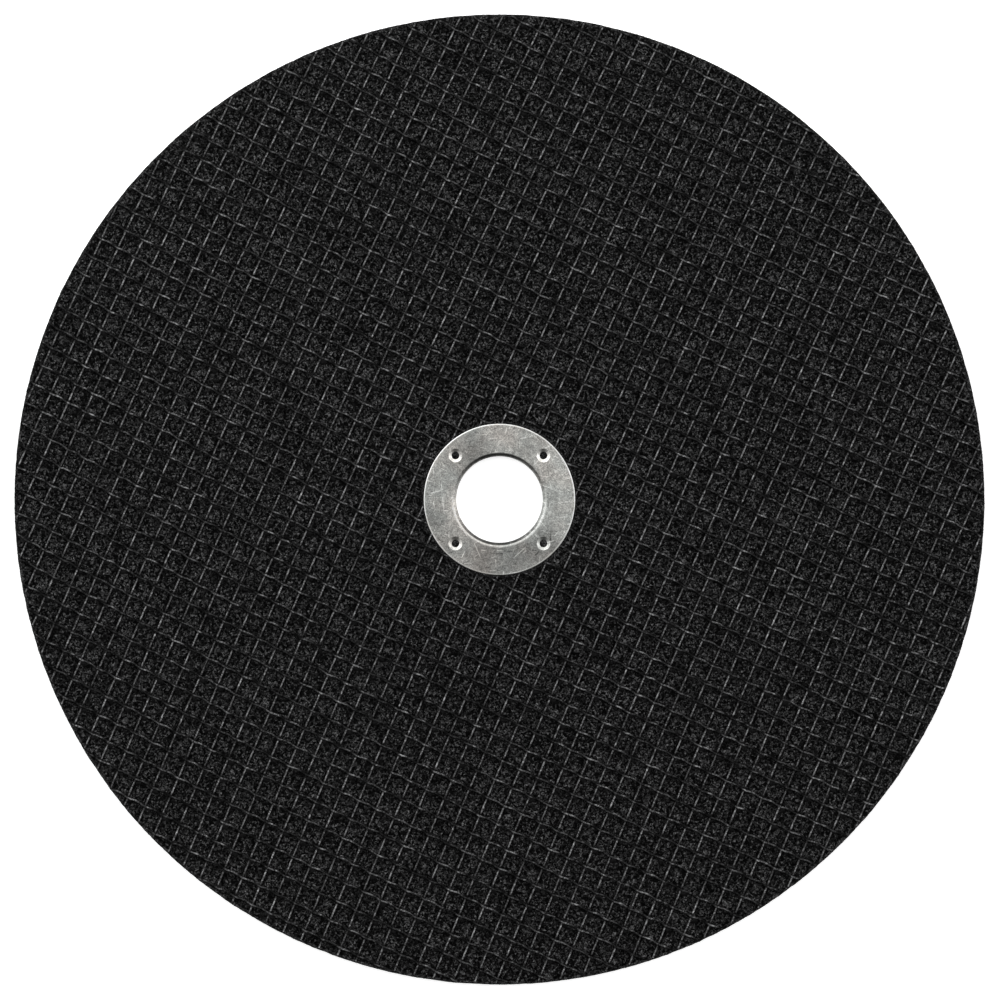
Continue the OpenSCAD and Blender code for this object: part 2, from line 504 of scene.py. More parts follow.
def scratch_lines(tree, flat, per_mm, half_width):
    """Short straight scratches, one to a cell and each turned its own way, as a value between 0 and 1."""
    cells = add(tree, "ShaderNodeTexVoronoi", {"Vector": flat, "Scale": per_mm})
    offset = add(tree, "ShaderNodeVectorMath", {0: flat, 1: cells.outputs["Position"]}, operation="SUBTRACT")
    x, y, _ = parts_of(tree, offset.outputs[0])
    chance = add(tree, "ShaderNodeSeparateColor", {0: cells.outputs["Color"]}).outputs
    angle = Field(tree, chance[0]) * math.pi
    across = (y * angle.math("COSINE") - x * angle.math("SINE")).math("ABSOLUTE")
    along = (x * angle.math("COSINE") + y * angle.math("SINE")).math("ABSOLUTE")
    line = ramp(tree, across, half_width * 0.4, half_width, 1.0, 0.0)
    reach = Field(tree, chance[1]) * 0.5 / per_mm + 0.2 / per_mm
    strength = ramp(tree, chance[2], 0.35, 1.0)
    return line * ramp(tree, along / reach, 0.6, 1.0, 1.0, 0.0) * strength


def steel_material(tint):
    """Dull zinc-grey sheet with mottling, fine scratches that run every way, painted highlights on the outer
    edge, the anchor mouths and the bore, and painted shade at the bore.
    """
    material, tree, shader, place = new_material("zinc_grey_sheet")
    flange, bore = FLANGE_R / MM, BORE_R / MM
    mottle = noise_value(tree, place, 1.0, 3.0, 0.65)
    fine = noise_value(tree, place, 3.2, 2.0, 0.6)
    drift = add(tree, "ShaderNodeVectorMath", {0: place, 1: (44, -25, -68)}, operation="ADD").outputs[0]
    blotch = noise_value(tree, drift, 0.09, 2.0)
    flat = add(tree, "ShaderNodeVectorMath", {0: place, 1: (1, 1, 0)}, operation="MULTIPLY").outputs[0]
    scratches = scratch_lines(tree, flat, 0.24, 0.15).math("MAXIMUM", scratch_lines(tree, flat, 0.5, 0.13))
    dents = scratch_lines(tree, flat, 0.34, 0.16)
    radius = Field(tree, add(tree, "ShaderNodeVectorMath", {0: flat}, operation="LENGTH").outputs["Value"])
    # Painted highlight: a bright line along the flange's rounded outer edge
    edge = ramp(tree, radius, flange - 0.45, flange - 0.25)
    tone = ramp(tree, mottle, 0.35, 0.65, 0.72, 1.26) * ramp(tree, fine, 0.36, 0.64, 0.62, 1.36)
    tone = tone * ramp(tree, blotch, 0.34, 0.66, 0.64, 1.3) + scratches + edge * 1.2 - dents * 0.45
    # Painted highlight on the sloped mouths of the anchor points, between the bend at the bore and the flange's
    # edge
    facing = facing_up(tree)
    mouth_highlight = ramp(tree, facing, 0.93, 0.97, 1.0, 0.0) * ramp(tree, facing, 0.3, 0.5)
    mouth_highlight = mouth_highlight * ramp(tree, radius, flange - 6.0, flange - 5.5)
    mouth_highlight = mouth_highlight * ramp(tree, radius, flange - 1.0, flange - 0.6, 1.0, 0.0)
    tone = tone + mouth_highlight * 0.45
    # Painted shade in the bend at the bore, strongest towards +Y and -Y, and a painted highlight in a line past
    # it on the side towards -Y
    toward = parts_of(tree, place)[1] / radius
    rim = toward.math("MAXIMUM", 0.0) * 0.2 + (bore + 0.68)
    bore_shade = ramp(tree, radius - rim, -0.1, 0.15, 1.0, 0.0) * toward.math("ABSOLUTE").math("POWER", 0.6)
    past = (radius - (bore + 0.95)).math("ABSOLUTE")
    bore_highlight = ramp(tree, past, 0.15, 0.4, 1.0, 0.0) * ramp(tree, toward, -0.3, 0.3, 1.0, 0.0)
    tone = (tone + bore_highlight * 0.9) * (bore_shade * -0.84 + 1.0)
    hue = add(tree, "ShaderNodeMix", {0: ramp(tree, noise_value(tree, place, 0.13, 1.0), 0.35, 0.65)},
              data_type="RGBA")
    warm, cool = (1.04, 1.0, 0.96), (0.97, 1.0, 0.98)
    hue.inputs[6].default_value = (*(a * b for a, b in zip(tint, warm)), 1)
    hue.inputs[7].default_value = (*(a * b for a, b in zip(tint, cool)), 1)
    feed(tree, shader.inputs["Base Color"], shade(tree, hue.outputs[2], tone))
    feed(tree, shader.inputs["Roughness"], ramp(tree, mottle, 0.3, 0.7, 0.5, 0.36) - edge * 0.1 - mouth_highlight * 0.1)
    shader.inputs["Metallic"].default_value = 1.0
    bump(tree, shader, mottle * 0.4 + fine * 0.3 + scratches * 0.5, 0.03 * MM)
    return material


# Abrasive body

def body_outline(body):
    """Half section of the body as (radius, height) points, once round from the bore's back edge."""
    hole = BORE_R + body.sheet + body.fit
    floor = FRONT_Z - body.flange_seat
    roof = BACK_Z + body.lip_seat
    flange_seat_r = FLANGE_R + body.fit
    lip_seat_r = BORE_R + body.lip_width + body.fit
    edge_r = WHEEL_R - body.bevel
    points = [
        (hole, roof + body.lip_break), (hole, floor - body.flange_break),
        (hole + body.flange_break, floor), (flange_seat_r, floor),
    ]
    inset = 2 * body.bed
    points += [
        (flange_seat_r, FRONT_Z), (flange_seat_r + inset, FRONT_Z - body.bed),
        (edge_r - inset, FRONT_Z - body.bed), (edge_r, FRONT_Z),
    ]
    rise = FRONT_Z - BACK_Z - 2 * body.bevel
    points += [(WHEEL_R, FRONT_Z - body.bevel - rise * i / body.rim_steps) for i in range(body.rim_steps + 1)]
    points += [
        (edge_r, BACK_Z), (edge_r - inset, BACK_Z + body.bed), (lip_seat_r + inset, BACK_Z + body.bed),
        (lip_seat_r, BACK_Z), (lip_seat_r, roof), (hole + body.lip_break, roof),
    ]
    return points


# Sizes of the chips on the rim, and the share of each in their depth
FINE_CHIP = 0.9 * MM
COARSE_CHIP = 3.5 * MM
CHIP_SHARE = 0.35
# Least and most tone of a facet of the body
BODY_TONE = (0.35, 0.95)


def roughened(point, body):
    """A point of the body, moved by the chips of the rim."""
    radius = math.hypot(point.x, point.y)
    if radius > WHEEL_R - 2 * body.bevel:
        fine, coarse = noise.noise(point / FINE_CHIP), noise.noise(point / COARSE_CHIP)
        chip = 0.5 + CHIP_SHARE * fine + CHIP_SHARE * coarse
        scale = 1 - body.rim_chip * min(max(chip, 0.0), 1.0) / radius
        return Vector((point.x * scale, point.y * scale, point.z))
    return point


def body_mesh(body):
    """The body turned round its axis from its outline, with a rough rim."""
    outline = body_outline(body)
    work = bmesh.new()
    rings = []
    for i in range(body.spokes):
        turn = 2 * math.pi * i / body.spokes
        spoke = [Vector((r * math.cos(turn), r * math.sin(turn), z)) for r, z in outline]
        rings.append([work.verts.new(roughened(point, body)) for point in spoke])
    for here, there in zip(rings, rings[1:] + rings[:1]):
        for i in range(len(outline)):
            j = (i + 1) % len(outline)
            work.faces.new((here[i], there[i], there[j], here[j]))
    bmesh.ops.recalc_face_normals(work, faces=work.faces)
    for face in work.faces:
        face.smooth = True
    mesh = bpy.data.meshes.new("abrasive_body")
    work.to_mesh(mesh)
    work.free()
    chance = random.Random(body.spokes)
    tones = mesh.attributes.new("glint", "FLOAT", "FACE")
    tones.data.foreach_set("value", [chance.uniform(*BODY_TONE) for _ in mesh.polygons])
    return mesh


# Lay of the strands

def lay(strands, name):
    """Pitch, phase, angle, bow, fan and crowd of one set."""
    return [getattr(strands, f"{name}_{part}") for part in ("pitch", "phase", "angle", "bow", "fan", "crowd")]


def rows_of(strands, name):
    """Sideways places of the strands of one set, at the middle of their length."""
    pitch, phase, _, _, _, crowd = lay(strands, name)
    half = math.ceil(MESH_R / pitch) + 1
    rows = [(i + phase) * pitch for i in range(-half, half)]
    return [row for row in rows if abs(row + crowd * (row / MESH_R) ** 2) < MESH_R - MM]


def beside(strands, name, x, y):
    """Sideways distance of a point from the nearest strand of one set, positive on the set's upper side."""
    pitch, phase, angle, bow, fan, crowd = lay(strands, name)
    along = (x * math.cos(angle) + y * math.sin(angle)) / MESH_R
    row = y * math.cos(angle) - x * math.sin(angle)
    across = row / MESH_R
    row -= bow * along * along + fan * along * across + crowd * across * across
    place = row / pitch - phase
    return (place - round(place)) * pitch


# Relief of the faces

# The bed that the grain leaves for the strands: half its width at the warp, how far it lies off the weft,
# the width of its flanks, and its depth before it is held at 1
WARP_BED = 0.3 * MM
WEFT_BED_OFFSET = 0.4 * MM
BED_FLANK = 0.75 * MM
BED_DEPTH = 1.2
# Painted shade on the grain: its brightness beside a weft strand, what it loses up to the next one, and what it
# loses in a bed
CELL_SHADE_START = 1.1
CELL_SHADE_LOSS = 0.2
BED_SHADE_LOSS = 0.3
# Sideways jitter of a grain's corner as a share of the step, shares of its height, and the lowest height
JITTER = 0.3
LOOSE_SHARE = 0.85
SWELL_SHARE = 0.35
SWELL_SIZE = 2.2 * MM
LOWEST = -1.1


def sunk(strands, x, y):
    """How far the grain gives way to the strands: 0 in the middle of a cell, 1 along a strand's foot."""
    warp = (abs(beside(strands, "warp", x, y)) - WARP_BED) / BED_FLANK
    weft = abs(beside(strands, "weft", x, y) + WEFT_BED_OFFSET) / BED_FLANK
    return min(max(BED_DEPTH - min(warp, weft), 0.0), 1.0)


def cell_shade(strands, x, y):
    """Brightness of the grain as painted shade, darker more and more from one weft strand up to the next."""
    return CELL_SHADE_START - CELL_SHADE_LOSS * (beside(strands, "weft", x, y) / strands.weft_pitch % 1)


def relief_net(relief, strands, step, inner_r, outer_r, level, side):
    """Corners and triangles of packed grain: a jittered net whose corners stand at random heights.

    Each corner is x, y, z and its brightness, which is painted shade, and side is 1 on the front and -1 on the
    back.
    """
    chance = random.Random(relief.seed)
    row_step = step * math.sqrt(0.75)
    rows = math.ceil(outer_r / row_step)
    columns = math.ceil(outer_r / step) + 1
    corners, index = [], {}
    for j in range(-rows, rows + 1):
        for i in range(-columns, columns + 1):
            x = (i + 0.5 * (j % 2) + chance.uniform(-JITTER, JITTER)) * step
            y = j * row_step + chance.uniform(-JITTER, JITTER) * step
            radius = math.hypot(x, y)
            if not inner_r < radius < outer_r:
                continue
            swell = noise.noise(Vector((x, y, side)) / SWELL_SIZE)
            height = relief.height * (LOOSE_SHARE * chance.uniform(-1, 1) + SWELL_SHARE * swell)
            low = sunk(strands, x, y)
            height -= relief.groove * low
            if min(radius - inner_r, outer_r - radius) < step:
                height = LOWEST * relief.height
            height = max(height, LOWEST * relief.height)
            index[i, j] = len(corners)
            # Painted shade: the grain is darker in the bed beside a strand and from one weft strand up to the
            # next
            brightness = (1 - BED_SHADE_LOSS * low) * cell_shade(strands, x, y)
            corners.append((x, y, level + side * height, brightness))
    triangles = []
    for i, j in index:
        above = (i + j % 2, j + 1)
        before = (above[0] - 1, j + 1)
        for ends in (((i, j), (i + 1, j), above), ((i, j), above, before)):
            if all(end in index for end in ends):
                triangle = [index[end] for end in ends]
                triangles.append(triangle if side > 0 else triangle[::-1])
    return corners, triangles


def relief_mesh(name, corners, triangles, seed):
    """A mesh of some triangles of a net, with their corners alone and a random tone on each triangle, dimmed by
    the painted shade of its corners.
    """
    used = sorted({corner for triangle in triangles for corner in triangle})
    renumbered = {corner: i for i, corner in enumerate(used)}
    mesh = bpy.data.meshes.new(name)
    faces = [[renumbered[corner] for corner in triangle] for triangle in triangles]
    mesh.from_pydata([corners[corner][:3] for corner in used], [], faces)
    chance = random.Random(seed)
    painted_shade = [sum(corners[corner][3] for corner in triangle) / 3 for triangle in triangles]
    tones = mesh.attributes.new("glint", "FLOAT", "FACE")
    tones.data.foreach_set("value", [chance.random() * value for value in painted_shade])
    return mesh


# Glass mesh

STRAND_INPUTS = {
    **dict.fromkeys((
        "Mesh Radius", "Inner Radius", "First", "Step", "Angle", "Height", "Side",
        "Pitch", "Bow", "Fan", "Crowd", "Width", "Level", "Rise", "Lead", "Arch",
        "Wander", "Thickness", "Swell",
        "Cross Turn", "Cross Pitch", "Cross Phase", "Cross Bow", "Cross Fan", "Cross Crowd",
    ), "NodeSocketFloat"),
    "Count": "NodeSocketInt", "Seed": "NodeSocketInt", "Material": "NodeSocketMaterial",
}
STRAND_SIDES = 6
# Each of the four sets has a seed of its own, counted from this one
FIRST_SEED = 3
# Rounds that settle where a bowed strand meets the edge of the mesh
REACH_ROUNDS = 3
# Half the gap at the ring between the two ends of a strand, as a share of the strand's half length
SPLIT = 0.0001
# Noise along the strands, in features per metre: slow drift to the side, and unevenness of height and girth
DRIFT_PER_M = 45.0
UNEVEN_PER_M = 420.0
# How far a whole strand is nudged to the side, as a share of the wander, and how much its drift differs
# from its neighbours'
NUDGE_SHARE = 0.6
DRIFT_SPREAD = 3.0
# Power that narrows the rise at a crossing, and the least girth of a strand and what noise adds to it
CROSSING_POWER = 4.0
GIRTH_LEAST = 0.3
GIRTH_NOISE = 1.4


def strand_tree():
    """Parallel strands across a disc: laid out, cut to the disc, bowed, woven and given a section."""
    tree, start, end = new_tree("woven_strands", STRAND_INPUTS)
    value = {label: Field(tree, start.outputs[label]) for label in STRAND_INPUTS}
    radius = value["Mesh Radius"]
    inner = value["Inner Radius"]

    def vector(x, y, z):
        return add(tree, "ShaderNodeCombineXYZ", {0: x, 1: y, 2: z}).outputs[0]

    def xyz():
        return parts_of(tree, tree.nodes.new("GeometryNodeInputPosition").outputs[0])

    def moved(curves, **where):
        return add(tree, "GeometryNodeSetPosition", {"Geometry": curves, **where}).outputs[0]

    def uneven(place, per_metre, detail):
        inputs = {"Vector": place, "Scale": per_metre, "Detail": detail}
        return Field(tree, add(tree, "ShaderNodeTexNoise", inputs).outputs[0])

    def line(a, b):
        ends = {"Start": (a, 0, 0), "End": (b, 0, 0)}
        return add(tree, "GeometryNodeCurvePrimitiveLine", ends).outputs[0]

    def sideways(x, row, prefix=""):
        along, across = x / radius, row / radius
        bent = value[prefix + "Bow"] * along * along + value[prefix + "Fan"] * along * across
        return bent + value[prefix + "Crowd"] * across * across

    rows = add(tree, "GeometryNodeMeshLine", {
        "Count": value["Count"], "Start Location": vector(0, value["First"], 0),
        "Offset": vector(0, value["Pitch"], 0)}).outputs[0]
    nudge = add(tree, "FunctionNodeRandomValue", data_type="FLOAT")
    feed(tree, nudge.inputs[2], value["Wander"] * -NUDGE_SHARE)
    feed(tree, nudge.inputs[3], value["Wander"] * NUDGE_SHARE)
    feed(tree, nudge.inputs["Seed"], value["Seed"])
    rows = moved(rows, Offset=vector(0, Field(tree, nudge.outputs[1]), 0))

    across = xyz()[1].math("ABSOLUTE")
    whole = across.math("GREATER_THAN", inner)
    split = across.math("LESS_THAN", inner)
    halves = add(tree, "GeometryNodeJoinGeometry")
    tree.links.new(line(SPLIT, 1), halves.inputs[0])
    tree.links.new(line(-SPLIT, -1), halves.inputs[0])
    laid = add(tree, "GeometryNodeJoinGeometry")
    for chosen, shape in ((whole, line(-1, 1)), (split, halves.outputs[0])):
        copies = add(tree, "GeometryNodeInstanceOnPoints", {
            "Points": rows, "Selection": chosen, "Instance": shape})
        tree.links.new(copies.outputs[0], laid.inputs[0])
    curves = add(tree, "GeometryNodeRealizeInstances", {0: laid.outputs[0]}).outputs[0]

    share, offset, _ = xyz()
    side = share.math("SIGN")
    gap = (inner * inner - offset * offset).math("MAXIMUM", 0).math("SQRT")
    reach = (radius * radius - offset * offset).math("MAXIMUM", 0).math("SQRT")
    for _ in range(REACH_ROUNDS):
        end_offset = offset + sideways(side * reach, offset)
        reach = (radius * radius - end_offset * end_offset).math("MAXIMUM", 0).math("SQRT")
    x = side * gap + share * (reach - gap)
    curves = moved(curves, Position=vector(x, offset, 0))
    curves = add(tree, "GeometryNodeResampleCurve", {
        "Curve": curves, "Length": value["Step"]}, mode="LENGTH").outputs[0]

    x, offset, _ = xyz()
    drift = uneven(vector(x, offset * DRIFT_SPREAD, value["Seed"]), DRIFT_PER_M, 1.0)
    y = offset + sideways(x, offset) + (drift - 0.5) * value["Wander"] * 2.0
    curves = moved(curves, Position=vector(x, y, 0))

    x, y, _ = xyz()
    cosine = value["Cross Turn"].math("COSINE")
    sine = value["Cross Turn"].math("SINE")
    cross_x = x * cosine + y * sine
    cross_y = y * cosine - x * sine
    cross_row = cross_y - sideways(cross_x, cross_y, "Cross ")
    phase = cross_row / value["Cross Pitch"] - value["Cross Phase"]
    wave = (phase * (2 * math.pi)).math("COSINE")
    crossing = (wave * 0.5 + 0.5).math("POWER", CROSSING_POWER)
    bare = ((phase + value["Lead"]) * (2 * math.pi)).math("COSINE") * 0.5 + 0.5
    swell = uneven(vector(x, y, value["Seed"]), UNEVEN_PER_M, 2.0)
    z = value["Level"] + value["Rise"] * crossing + (swell - 0.5) * value["Swell"]
    girth = uneven(vector(y, x, value["Seed"]), UNEVEN_PER_M, 1.0) * GIRTH_NOISE + GIRTH_LEAST
    curves = add(tree, "GeometryNodeSetCurveRadius", {"Curve": curves, "Radius": girth}).outputs[0]
    curves = add(tree, "GeometryNodeStoreNamedAttribute", {
        "Geometry": curves, "Name": "bare", "Value": bare}, data_type="FLOAT", domain="POINT").outputs[0]
    curves = moved(curves, Position=vector(x, y - value["Arch"] * wave, z))
    curves = add(tree, "GeometryNodeSetCurveNormal", {"Curve": curves}, mode="Z_UP").outputs[0]

    oval = add(tree, "GeometryNodeCurvePrimitiveCircle", {"Resolution": STRAND_SIDES, "Radius": 0.5}).outputs[0]
    oval = add(tree, "GeometryNodeTransform", {
        "Geometry": oval, "Scale": vector(value["Width"], value["Thickness"], 1),
        "Translation": vector(0, value["Thickness"] * 0.5, 0)}).outputs[0]
    tubes = add(tree, "GeometryNodeCurveToMesh", {"Curve": curves, "Profile Curve": oval, "Fill Caps": True})
    placed = add(tree, "GeometryNodeTransform", {
        "Geometry": tubes.outputs[0], "Rotation": vector(0, 0, value["Angle"]),
        "Translation": vector(0, 0, value["Height"]), "Scale": vector(1, 1, value["Side"])}).outputs[0]
    smooth = add(tree, "GeometryNodeSetShadeSmooth", {"Geometry": placed}).outputs[0]
    whole = add(tree, "GeometryNodeRealizeInstances", {0: smooth}).outputs[0]
    named = add(tree, "GeometryNodeSetMaterial", {"Geometry": whole, "Material": start.outputs["Material"]})
    tree.links.new(named.outputs[0], end.inputs[0])
    return tree


def strand_values(strands, name, other, back, inner_r, material):
    """The tree's inputs for one set of strands on one face."""
    rows = rows_of(strands, name)
    values = {
        "Mesh Radius": MESH_R, "Inner Radius": inner_r, "First": rows[0], "Count": len(rows),
        "Step": strands.back_step if back else strands.front_step,
        "Height": BACK_Z if back else FRONT_Z, "Side": -1.0 if back else 1.0,
        "Cross Turn": lay(strands, other)[2] - lay(strands, name)[2],
        "Seed": FIRST_SEED + 2 * back + (name == "warp"), "Material": material,
    }
    for part in ("wander", "thickness", "swell"):
        values[part.title()] = getattr(strands, part)
    for part in ("pitch", "angle", "bow", "fan", "crowd", "width", "level", "rise", "lead", "arch"):
        values[part.title()] = getattr(strands, f"{name}_{part}")
    for part in ("pitch", "phase", "bow", "fan", "crowd"):
        values[f"Cross {part.title()}"] = getattr(strands, f"{other}_{part}")
    return values


# Grit

GRIT_INPUTS = {
    **dict.fromkeys(("Density", "Size", "Sink"), "NodeSocketFloat"), "Seed": "NodeSocketInt",
}
# A grain's cone of radius 1: its height and how far its foot lies below its middle
GRAIN_HEIGHT = 1.35
GRAIN_FOOT = 0.35
# The smallest grain and the depth that a grain is sunk, as shares of the largest grain
GRAIN_LEAST = 0.55
GRAIN_SUNK = 0.35
# Largest turn of a grain about each axis, in radians
GRAIN_TURN = (6.283, 6.283, 6.283)
# Distance of the grit on the front from the ring and from the rim
RING_CLEAR = 0.8 * MM
RIM_CLEAR = MM
# Least z of the normal on the front, and the most on the rim
FRONT_NORMAL = 0.7
RIM_NORMAL = 0.8


def grit_tree(name, chosen, material):
    """Three-sided grains scattered over the faces of a mesh whose normal and radius the choice accepts."""
    tree, start, end = new_tree(name, GRIT_INPUTS)
    value = {label: Field(tree, start.outputs[label]) for label in GRIT_INPUTS}
    normal = parts_of(tree, tree.nodes.new("GeometryNodeInputNormal").outputs[0])[2]
    place = tree.nodes.new("GeometryNodeInputPosition").outputs[0]
    flat = add(tree, "ShaderNodeVectorMath", {0: place, 1: (1, 1, 0)}, operation="MULTIPLY").outputs[0]
    radius = add(tree, "ShaderNodeVectorMath", {0: flat}, operation="LENGTH").outputs["Value"]
    accepted = chosen(normal, Field(tree, radius))
    points = add(tree, "GeometryNodeDistributePointsOnFaces", {
        "Mesh": start.outputs["Geometry"], "Selection": accepted, "Density": value["Density"],
        "Seed": value["Seed"]})
    lowered = add(tree, "GeometryNodeSetPosition", {
        "Geometry": points.outputs["Points"],
        "Offset": shade(tree, points.outputs["Normal"], value["Sink"] * -1.0)}).outputs[0]
    grain = add(tree, "GeometryNodeMeshCone", {
        "Vertices": 3, "Radius Top": 0.0, "Radius Bottom": 1.0, "Depth": GRAIN_HEIGHT})
    centred = add(tree, "GeometryNodeTransform", {
        "Geometry": grain.outputs[0], "Translation": (0, 0, -GRAIN_FOOT)}).outputs[0]
    turn = add(tree, "FunctionNodeRandomValue", {0: (0, 0, 0), 1: GRAIN_TURN}, data_type="FLOAT_VECTOR")
    feed(tree, turn.inputs["Seed"], value["Seed"])
    grow = add(tree, "FunctionNodeRandomValue", data_type="FLOAT")
    feed(tree, grow.inputs[2], value["Size"] * GRAIN_LEAST)
    feed(tree, grow.inputs[3], value["Size"])
    feed(tree, grow.inputs["Seed"], value["Seed"])
    copies = add(tree, "GeometryNodeInstanceOnPoints", {
        "Points": lowered, "Instance": centred, "Rotation": turn.outputs[0], "Scale": grow.outputs[1]})
    chance = add(tree, "FunctionNodeRandomValue", data_type="FLOAT")
    feed(tree, chance.inputs["Seed"], value["Seed"] + 1)
    toned = add(tree, "GeometryNodeStoreNamedAttribute", {
        "Geometry": copies.outputs[0], "Name": "glint", "Value": chance.outputs[1]},
        data_type="FLOAT", domain="INSTANCE").outputs[0]
    whole = add(tree, "GeometryNodeRealizeInstances", {0: toned}).outputs[0]
    named = add(tree, "GeometryNodeSetMaterial", {"Geometry": whole, "Material": material}).outputs[0]
    tree.links.new(named, end.inputs[0])
    return tree


def upward(normal, radius):
    """The front face, clear of the ring and the rim."""
    past_ring = radius.math("GREATER_THAN", FLANGE_R + RING_CLEAR)
    short_of_rim = radius.math("LESS_THAN", WHEEL_R - RIM_CLEAR)
    return normal.math("GREATER_THAN", FRONT_NORMAL) * (past_ring * short_of_rim)


def outward(normal, radius):
    """The rim."""
    steep = normal.math("ABSOLUTE").math("LESS_THAN", RIM_NORMAL)
    return steep * radius.math("GREATER_THAN", WHEEL_R - RIM_CLEAR)


# Resin pools

POOL_INPUTS = {"Size": "NodeSocketFloat", "Depth": "NodeSocketFloat", "Seed": "NodeSocketInt"}
# A pool's width as a share of its length, its least and most turn, and its least and most growth
POOL_WIDTH = 0.72
POOL_TURN = ((0, 0, -0.9), (0, 0, 0.1))
POOL_GROWTH = (0.35, 1.2)
# Rounds that settle where two bowed strands cross
CROSSING_ROUNDS = 4


def crossings(strands):
    """Places where a strand of one set crosses a strand of the other, on the plane of the face."""
    along = {}
    for name in ("warp", "weft"):
        angle = lay(strands, name)[2]
        along[name] = Vector((math.cos(angle), math.sin(angle)))
    twist = along["weft"].cross(along["warp"])

    def sideways(point, name, row):
        _, _, _, bow, fan, crowd = lay(strands, name)
        a, b = point.dot(along[name]) / MESH_R, row / MESH_R
        return row + bow * a * a + fan * a * b + crowd * b * b

    points = []
    for warp_row in rows_of(strands, "warp"):
        for weft_row in rows_of(strands, "weft"):
            point = Vector((0, 0))
            for _ in range(CROSSING_ROUNDS):
                warp_y = sideways(point, "warp", warp_row)
                weft_y = sideways(point, "weft", weft_row)
                point = (along["warp"] * weft_y - along["weft"] * warp_y) / twist
            points.append(point)
    return points


def pool_tree(material):
    """Flat lenses of resin on the points of a mesh, each turned and sized a little differently."""
    tree, start, end = new_tree("resin_pools", POOL_INPUTS)
    value = {label: Field(tree, start.outputs[label]) for label in POOL_INPUTS}
    lens = add(tree, "GeometryNodeMeshUVSphere", {"Segments": 6, "Rings": 3, "Radius": 1.0}).outputs[0]
    size = add(tree, "ShaderNodeCombineXYZ", {
        0: value["Size"], 1: value["Size"] * POOL_WIDTH, 2: value["Depth"]}).outputs[0]
    lens = add(tree, "GeometryNodeTransform", {"Geometry": lens, "Scale": size}).outputs[0]
    least, most = POOL_TURN
    turn = add(tree, "FunctionNodeRandomValue", {0: least, 1: most}, data_type="FLOAT_VECTOR")
    least, most = POOL_GROWTH
    grow = add(tree, "FunctionNodeRandomValue", {2: least, 3: most}, data_type="FLOAT")
    for chance in (turn, grow):
        feed(tree, chance.inputs["Seed"], value["Seed"])
    copies = add(tree, "GeometryNodeInstanceOnPoints", {
        "Points": start.outputs["Geometry"], "Instance": lens, "Rotation": turn.outputs[0],
        "Scale": grow.outputs[1]}).outputs[0]
    whole = add(tree, "GeometryNodeRealizeInstances", {0: copies}).outputs[0]
    smooth = add(tree, "GeometryNodeSetShadeSmooth", {"Geometry": whole}).outputs[0]
    named = add(tree, "GeometryNodeSetMaterial", {"Geometry": smooth, "Material": material}).outputs[0]
    tree.links.new(named, end.inputs[0])
    return tree


# Stage

# Light from all round: what the sides add to the direction up the picture, the range of that sum, and the
# light's strength at both ends of it
SKY_SIDES = 0.8
SKY_RANGE = (-0.5, 0.75)
SKY_LEVELS = (0.06, 1.02)
# Each lamp's name, the setting of its power, its place and the side of its square, in metres
LAMPS = (
    ("key_lamp", "key_power", (-0.47, 0.42, 0.41), 0.8),
    ("top_lamp", "top_power", (0.0, 0.78, 0.42), 0.84),
    ("fill_lamp", "fill_power", (1.15, 0.2, 0.8), 0.9),
)


def seen(tree):
    """1 for rays that show the background, seen straight on, in metal or through glass, and 0 for light."""
    path = tree.nodes.new("ShaderNodeLightPath")
    shown = Field(tree, path.outputs["Is Camera Ray"])
    for label in ("Is Glossy Ray", "Is Transmission Ray"):
        shown = shown.math("MAXIMUM", Field(tree, path.outputs[label]))
    return shown


def make_floor(stage):
    """A pale floor under the wheel that reads as white and keeps a soft shadow."""
    half = stage.floor_size
    mesh = bpy.data.meshes.new("floor")
    corners = [(-half, -half, 0), (half, -half, 0), (half, half, 0), (-half, half, 0)]
    mesh.from_pydata(corners, [], [(0, 1, 2, 3)])
    floor = new_object("floor", mesh)
    material = bpy.data.materials.new("pale_floor")
    material.use_nodes = True
    tree = material.node_tree
    tree.nodes.clear()
    output = tree.nodes.new("ShaderNodeOutputMaterial")
    matt = add(tree, "ShaderNodeBsdfDiffuse", {"Color": (*stage.floor_tint, 1)})
    glow = add(tree, "ShaderNodeEmission", {"Strength": seen(tree) * stage.floor_glow})
    both = add(tree, "ShaderNodeAddShader", {0: matt.outputs[0], 1: glow.outputs[0]})
    tree.links.new(both.outputs[0], output.inputs["Surface"])
    mesh.materials.append(material)


def make_world():
    """Soft light from all round that is weaker towards the picture's lower edge."""
    world = bpy.data.worlds.new("studio")
    bpy.context.scene.world = world
    world.use_nodes = True
    tree = world.node_tree
    tree.nodes.clear()
    output = tree.nodes.new("ShaderNodeOutputWorld")
    place = tree.nodes.new("ShaderNodeTexCoord").outputs["Generated"]
    x, y, _ = parts_of(tree, place)
    level = ramp(tree, y + x.math("ABSOLUTE") * SKY_SIDES, *SKY_RANGE, *SKY_LEVELS)
    sky = add(tree, "ShaderNodeBackground", {"Color": (1, 1, 1, 1), "Strength": level})
    tree.links.new(sky.outputs[0], output.inputs["Surface"])


def make_lamp(name, place, size, power):
    """A square soft lamp that faces the wheel's middle."""
    data = bpy.data.lights.new(name, "AREA")
    data.size = size
    data.energy = power
    lamp = new_object(name, data)
    lamp.location = place
    lamp.rotation_mode = "QUATERNION"
    lamp.rotation_quaternion = (-Vector(place)).to_track_quat("-Z", "Y")


def make_camera(stage):
    """A long lens straight above the wheel, with +Y up in the picture."""
    data = bpy.data.cameras.new("camera")
    data.lens = stage.lens
    camera = new_object("camera", data)
    distance = stage.frame_width * stage.lens / data.sensor_width
    camera.location = (stage.offset_x, stage.offset_y, FRONT_Z + distance)
    bpy.context.scene.camera = camera


# Operators

